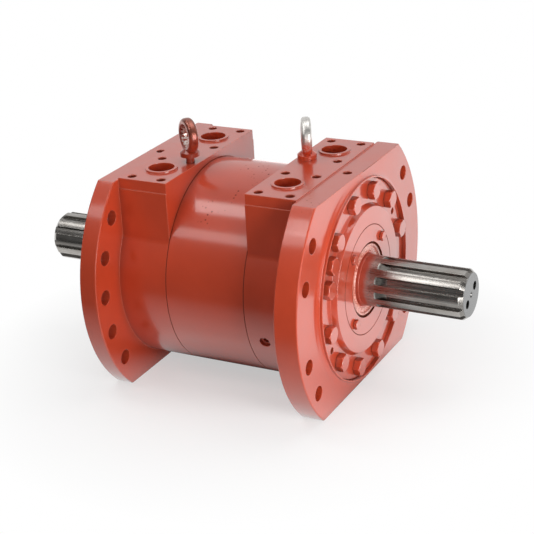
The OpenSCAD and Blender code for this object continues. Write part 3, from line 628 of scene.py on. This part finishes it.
def make_materials(look):
    """Every finish of the motor, by the name of its slot or piece."""
    groups = make_groups()
    paint = tuple(look.paint_color)
    steel = tuple(look.steel_color)
    satin = look.paint_roughness
    worn_paint = (0.26, 0.075, 0.05)
    eye_ring = eye_middle("rear_lifting_eye")
    return {
        "cast_paint": paint_material(
            "paint_on_casting", paint, groups, roughness=satin + 0.05, gloss=0.15, sheen=0.32, bump=0.26,
            patch_depth=0.07, lathe=0.5, dirt=True,
        ),
        "orange_red_paint": paint_material(
            "paint_on_machined", paint, groups, roughness=satin, gloss=0.07, sheen=0.5, bump=0.12,
            patch_depth=0.05, lathe=0.3, dirt=False,
        ),
        "splined_shaft": shaft_material("splined_shaft", steel, paint, groups),
        "front_eye": eye_material("front_eye_plate", (0.62, 0.6, 0.57), paint, groups, 0.428, 0.47),
        "rear_eye": eye_material("rear_eye_paint", worn_paint, scaled(paint, 0.6), groups, 0.44, 0.5, eye_ring),
        "painted_seal": seal_material("painted_seal", paint, groups),
        "machined_steel": steel_material("machined_steel", steel, groups, 0.32, 900.0),
        "ground_steel": steel_material("ground_steel", scaled(steel, 1.15), groups, 0.24, 1400.0),
        "zinc_plate": steel_material("zinc_plate", scaled(steel, 1.05), groups, 0.38, 300.0),
        "spring_steel": steel_material("spring_steel", scaled(steel, 0.45), groups, 0.3, 600.0),
        "bronze": steel_material("bronze", (0.5, 0.3, 0.1), groups, 0.34, 900.0),
        "seal_rubber": rubber_material("seal_rubber", groups),
    }


# Pieces


def select_only(obj):
    """Leaves obj as the one selected and active object."""
    bpy.ops.object.select_all(action="DESELECT")
    obj.select_set(True)
    bpy.context.view_layer.objects.active = obj


def body_of(node):
    """Name of the body that a CAD node rides on."""
    for body, members in frame["record"]["behaviour"]["bodies"].items():
        if node in members:
            return body
    raise RuntimeError("no body for " + node)


def dress(obj, key):
    """Gives every material slot of obj one finish."""
    if not obj.data.materials:
        obj.data.materials.append(MATERIALS[key])
    for index in range(len(obj.material_slots)):
        obj.material_slots[index].link = "OBJECT"
        obj.material_slots[index].material = MATERIALS[key]


def slot_of(node):
    """The record's material slot of a CAD node."""
    for row in frame["record"]["subparts"]:
        if row["node"] == node:
            return row["material_slot"]
    raise RuntimeError("no slot for " + node)


def faint_step(place):
    """True on the shaft's tiny step down to its splines, which a smooth shade hides as on the real one."""
    off = min(abs(abs(place.x) - start) for start in SPLINE_STARTS)
    return off < 0.7 * MM and STEP_RADII[0] < math.hypot(place.y, place.z - AXIS_H) < STEP_RADII[1]


def mark_corners(mesh, angle, left_plain):
    """Gives a bevel weight to every edge sharper than angle, save those that left_plain picks."""
    shape = bmesh.new()
    shape.from_mesh(mesh)
    weights = shape.edges.layers.float.new("bevel_weight_edge")
    for edge in shape.edges:
        middle = (edge.verts[0].co + edge.verts[1].co) / 2
        if edge.calc_face_angle(0.0) > angle and not left_plain(middle):
            edge[weights] = 1.0
    shape.to_mesh(mesh)
    shape.free()


def rounded_copy(node, key, width, segments=2, angle=36.0, left_plain=lambda place: False):
    """A copy of a CAD node's mesh with its loose triangles merged and its sharp edges rounded."""
    source = NODES[node]
    mesh = source.data.copy()
    mesh.transform(source.matrix_world)
    piece = bpy.data.objects.new(node + "_rounded", mesh)
    bpy.context.scene.collection.objects.link(piece)
    piece.data.materials.clear()
    select_only(piece)
    bpy.ops.object.mode_set(mode="EDIT")
    bpy.ops.mesh.select_all(action="SELECT")
    bpy.ops.mesh.remove_doubles(threshold=0.02 * MM)
    bpy.ops.mesh.customdata_custom_splitnormals_clear()
    bpy.ops.mesh.dissolve_limited(angle_limit=math.radians(0.6))
    bpy.ops.object.mode_set(mode="OBJECT")
    mark_corners(piece.data, math.radians(angle), left_plain)
    bevel = piece.modifiers.new("edges", "BEVEL")
    bevel.limit_method = "WEIGHT"
    bevel.width = width
    bevel.segments = segments
    bevel.use_clamp_overlap = False
    bevel.miter_outer = "MITER_SHARP"
    bpy.ops.object.modifier_apply(modifier="edges")
    bpy.ops.object.shade_smooth_by_angle(angle=math.radians(angle))
    for edge in piece.data.edges:
        ends = [piece.data.vertices[i].co for i in edge.vertices]
        if left_plain((ends[0] + ends[1]) / 2):
            edge.use_edge_sharp = False
    flat = piece.modifiers.new("flat_faces", "WEIGHTED_NORMAL")
    flat.mode = "FACE_AREA"
    flat.weight = 50
    flat.keep_sharp = True
    bpy.ops.object.modifier_apply(modifier="flat_faces")
    piece.data.materials.append(MATERIALS[key])
    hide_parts(node)
    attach(piece, body_of(node))
    return piece


# Settings


class MotorLook(bpy.types.PropertyGroup):
    """Colours and finishes of the motor."""

    paint_color: bpy.props.FloatVectorProperty(
        name="Paint", description="Colour of the enamel", subtype="COLOR", size=3, min=0, max=1,
        default=(0.56, 0.056, 0.017),
    )
    paint_roughness: bpy.props.FloatProperty(
        name="Paint roughness", description="Roughness of the enamel", min=0.05, max=0.9, default=0.36
    )
    steel_color: bpy.props.FloatVectorProperty(
        name="Steel", description="Colour of bare machined steel", subtype="COLOR", size=3, min=0, max=1,
        default=(0.38, 0.365, 0.345),
    )
    edge_round: bpy.props.FloatProperty(
        name="Edge rounding", description="Width of the rounded edges of castings", unit="LENGTH",
        min=0.2 * MM, max=4.0 * MM, default=1.1 * MM,
    )


class MotorCamera(bpy.types.PropertyGroup):
    """The photograph's viewing angle."""

    azimuth: bpy.props.FloatProperty(
        name="Azimuth", description="Angle round the motor", unit="ROTATION", default=math.radians(28.45)
    )
    elevation: bpy.props.FloatProperty(
        name="Elevation", description="Angle above the floor", unit="ROTATION", default=math.radians(22.65)
    )
    roll: bpy.props.FloatProperty(
        name="Roll", description="Tilt of the picture", unit="ROTATION", default=math.radians(-3.2)
    )
    distance: bpy.props.FloatProperty(
        name="Distance", description="From the camera to its aim", unit="LENGTH", default=2.7995
    )
    aim_x: bpy.props.FloatProperty(
        name="Aim along the shaft", description="Place of the aim along the shaft", unit="LENGTH", default=0.026
    )
    aim_z: bpy.props.FloatProperty(
        name="Aim height", description="Height of the aim", unit="LENGTH", default=AXIS_H - 5.6 * MM
    )
    lens: bpy.props.FloatProperty(
        name="Lens", description="Focal length in millimetres on a 36 mm sensor", default=99.03
    )


# Steps


class MOTOR_OT_castings(bpy.types.Operator):
    """Rounds and paints the two casings and the drum"""

    bl_idname = "motor.castings"
    bl_label = "Castings"

    def execute(self, context):
        for node in PAINTED_CASTINGS:
            rounded_copy(node, "cast_paint", context.scene.motor_look.edge_round)
        return {"FINISHED"}


class MOTOR_OT_covers(bpy.types.Operator):
    """Rounds and paints the bearing covers and the seal retainers"""

    bl_idname = "motor.covers"
    bl_label = "Covers"

    def execute(self, context):
        for node in PAINTED_COVERS:
            rounded_copy(node, "orange_red_paint", 0.8 * MM)
        return {"FINISHED"}


class MOTOR_OT_screws(bpy.types.Operator):
    """Rounds and paints the bolts, the screws and the drain plugs"""

    bl_idname = "motor.screws"
    bl_label = "Screws"

    def execute(self, context):
        for node in PAINTED_SCREWS:
            rounded_copy(node, "orange_red_paint", 0.5 * MM)
        return {"FINISHED"}


class MOTOR_OT_shaft(bpy.types.Operator):
    """Rounds the shaft's splines and gives it machined steel"""

    bl_idname = "motor.shaft"
    bl_label = "Shaft"

    def execute(self, context):
        rounded_copy("shaft", "splined_shaft", 0.5 * MM, left_plain=faint_step)
        return {"FINISHED"}


class MOTOR_OT_inner_parts(bpy.types.Operator):
    """Gives every other node the finish of its slot"""

    bl_idname = "motor.inner_parts"
    bl_label = "Inner parts"

    def execute(self, context):
        done = PAINTED_CASTINGS + PAINTED_COVERS + PAINTED_SCREWS + ("shaft",)
        for node, obj in NODES.items():
            if node not in done:
                dress(obj, OWN_FINISH.get(node, slot_of(node)))
        return {"FINISHED"}


class MOTOR_OT_stage(bpy.types.Operator):
    """Adds the camera, the lamps, the floor and the background"""

    bl_idname = "motor.stage"
    bl_label = "Stage"

    def execute(self, context):
        self.add_camera(context)
        self.add_lamps(context)
        self.add_floor()
        self.set_world(context)
        return {"FINISHED"}

    def add_camera(self, context):
        """Adds the camera at the set viewing angle, turned to its aim."""
        settings = context.scene.motor_camera
        az, el = settings.azimuth, settings.elevation
        back = Vector((math.sin(az) * math.cos(el), -math.cos(az) * math.cos(el), math.sin(el)))
        level = Vector((math.cos(az), math.sin(az), 0.0))
        upward = back.cross(level)
        right = math.cos(settings.roll) * level + math.sin(settings.roll) * upward
        up = -math.sin(settings.roll) * level + math.cos(settings.roll) * upward
        data = bpy.data.cameras.new("camera")
        data.lens = settings.lens
        data.sensor_width = 36.0
        camera = bpy.data.objects.new("camera", data)
        context.scene.collection.objects.link(camera)
        place = Vector((settings.aim_x, 0.0, settings.aim_z)) + back * settings.distance
        turn = Matrix((right, up, back)).transposed().to_4x4()
        camera.matrix_world = Matrix.Translation(place) @ turn
        context.scene.camera = camera

    def add_lamps(self, context):
        """Adds the area lamps, each turned to the middle of the shaft axis."""
        lamps = (
            ("key", (1.34, -0.72, 0.44), (0.7, 0.9), 16.8, "RECTANGLE"),
            ("fill", (0.9, -2.4, 0.8), (1.2, 1.2), 6.0, "RECTANGLE"),
            ("top", (0.5, 0.3, 2.4), (1.2, 1.2), 11.2, "RECTANGLE"),
            ("strip_over", (-0.98, -0.47, 2.3), (1.6, 0.55), 11.0, "ELLIPSE"),
            ("strip_left", (-0.98, -1.52, 1.75), (1.3, 0.42), 4.2, "ELLIPSE"),
            ("strip_shaft", (-0.43, -1.15, 1.78), (0.44, 0.4), 2.9, "RECTANGLE"),
        )
        for name, place, size, power, shape in lamps:
            data = bpy.data.lights.new(name, "AREA")
            data.shape = shape
            data.size, data.size_y = size
            data.energy = power
            lamp = bpy.data.objects.new(name, data)
            context.scene.collection.objects.link(lamp)
            lamp.location = place
            back = (lamp.location - Vector((0.0, 0.0, AXIS_H))).normalized()
            along = (Vector((1.0, 0.0, 0.0)) - back * back.x).normalized()
            lamp.rotation_euler = Matrix((along, back.cross(along), back)).transposed().to_euler()

    def add_floor(self):
        """Adds the floor just under the feet."""
        bpy.ops.object.select_all(action="DESELECT")
        bpy.ops.mesh.primitive_plane_add(size=30.0, location=(0.0, 0.0, -0.5 * MM))
        floor = bpy.context.object
        floor.name = "floor"
        floor.data.materials.append(floor_material())

    def set_world(self, context):
        """Makes the background white to the camera and a grey room, lighter behind and above, to other rays."""
        world = bpy.data.worlds.new("studio")
        context.scene.world = world
        world.use_nodes = True
        tree = world.node_tree
        room = tree.nodes["Background"]
        room.inputs["Color"].default_value = (1.0, 1.0, 1.0, 1.0)
        coord = tree.nodes.new("ShaderNodeTexCoord")
        split = tree.nodes.new("ShaderNodeSeparateXYZ")
        tree.links.new(coord.outputs["Generated"], split.inputs["Vector"])
        path = tree.nodes.new("ShaderNodeLightPath")
        behind = span(tree, split.outputs["Y"], 0.06, 0.34, 0.14, 0.85)
        over = span(tree, split.outputs["Z"], 0.2, 0.9, 0.0, 0.14)
        soft = span(tree, path.outputs["Is Glossy Ray"], 0.0, 1.0, 0.28, 1.0)
        tree.links.new(product(tree, total(tree, behind, over), soft), room.inputs["Strength"])
        white = tree.nodes.new("ShaderNodeBackground")
        white.inputs["Color"].default_value = (1.0, 1.0, 1.0, 1.0)
        seen = math_node(tree.nodes, "ADD", clamp=True)
        tree.links.new(path.outputs["Is Camera Ray"], seen.inputs[0])
        tree.links.new(path.outputs["Is Transmission Ray"], seen.inputs[1])
        mix = tree.nodes.new("ShaderNodeMixShader")
        tree.links.new(seen.outputs[0], mix.inputs["Fac"])
        tree.links.new(room.outputs["Background"], mix.inputs[1])
        tree.links.new(white.outputs["Background"], mix.inputs[2])
        tree.links.new(mix.outputs["Shader"], tree.nodes["World Output"].inputs["Surface"])


class MOTOR_PT_panel(bpy.types.Panel):
    """Lists the motor's pieces and finishes"""

    bl_idname = "MOTOR_PT_panel"
    bl_label = "Drive motor"
    bl_space_type = "VIEW_3D"
    bl_region_type = "UI"
    bl_category = "Drive motor"

    def draw(self, context):
        look = context.scene.motor_look
        for name in ("paint_color", "paint_roughness", "steel_color", "edge_round"):
            self.layout.prop(look, name)
        for step in STEPS:
            self.layout.operator(step)


STEPS = ("motor.castings", "motor.covers", "motor.screws", "motor.shaft", "motor.inner_parts", "motor.stage")
CLASSES = (
    MotorLook,
    MotorCamera,
    MOTOR_OT_castings,
    MOTOR_OT_covers,
    MOTOR_OT_screws,
    MOTOR_OT_shaft,
    MOTOR_OT_inner_parts,
    MOTOR_OT_stage,
    MOTOR_PT_panel,
)


def register():
    for cls in CLASSES:
        bpy.utils.register_class(cls)
    bpy.types.Scene.motor_look = bpy.props.PointerProperty(type=MotorLook)
    bpy.types.Scene.motor_camera = bpy.props.PointerProperty(type=MotorCamera)


def unregister():
    del bpy.types.Scene.motor_camera
    del bpy.types.Scene.motor_look
    for cls in reversed(CLASSES):
        bpy.utils.unregister_class(cls)


def main():
    register()
    scene = bpy.context.scene
    scene.view_settings.view_transform = "Standard"
    MATERIALS.update(make_materials(scene.motor_look))
    for step in STEPS:
        group, name = step.split(".")
        getattr(getattr(bpy.ops, group), name)()


if __name__ == "__main__":
    main()
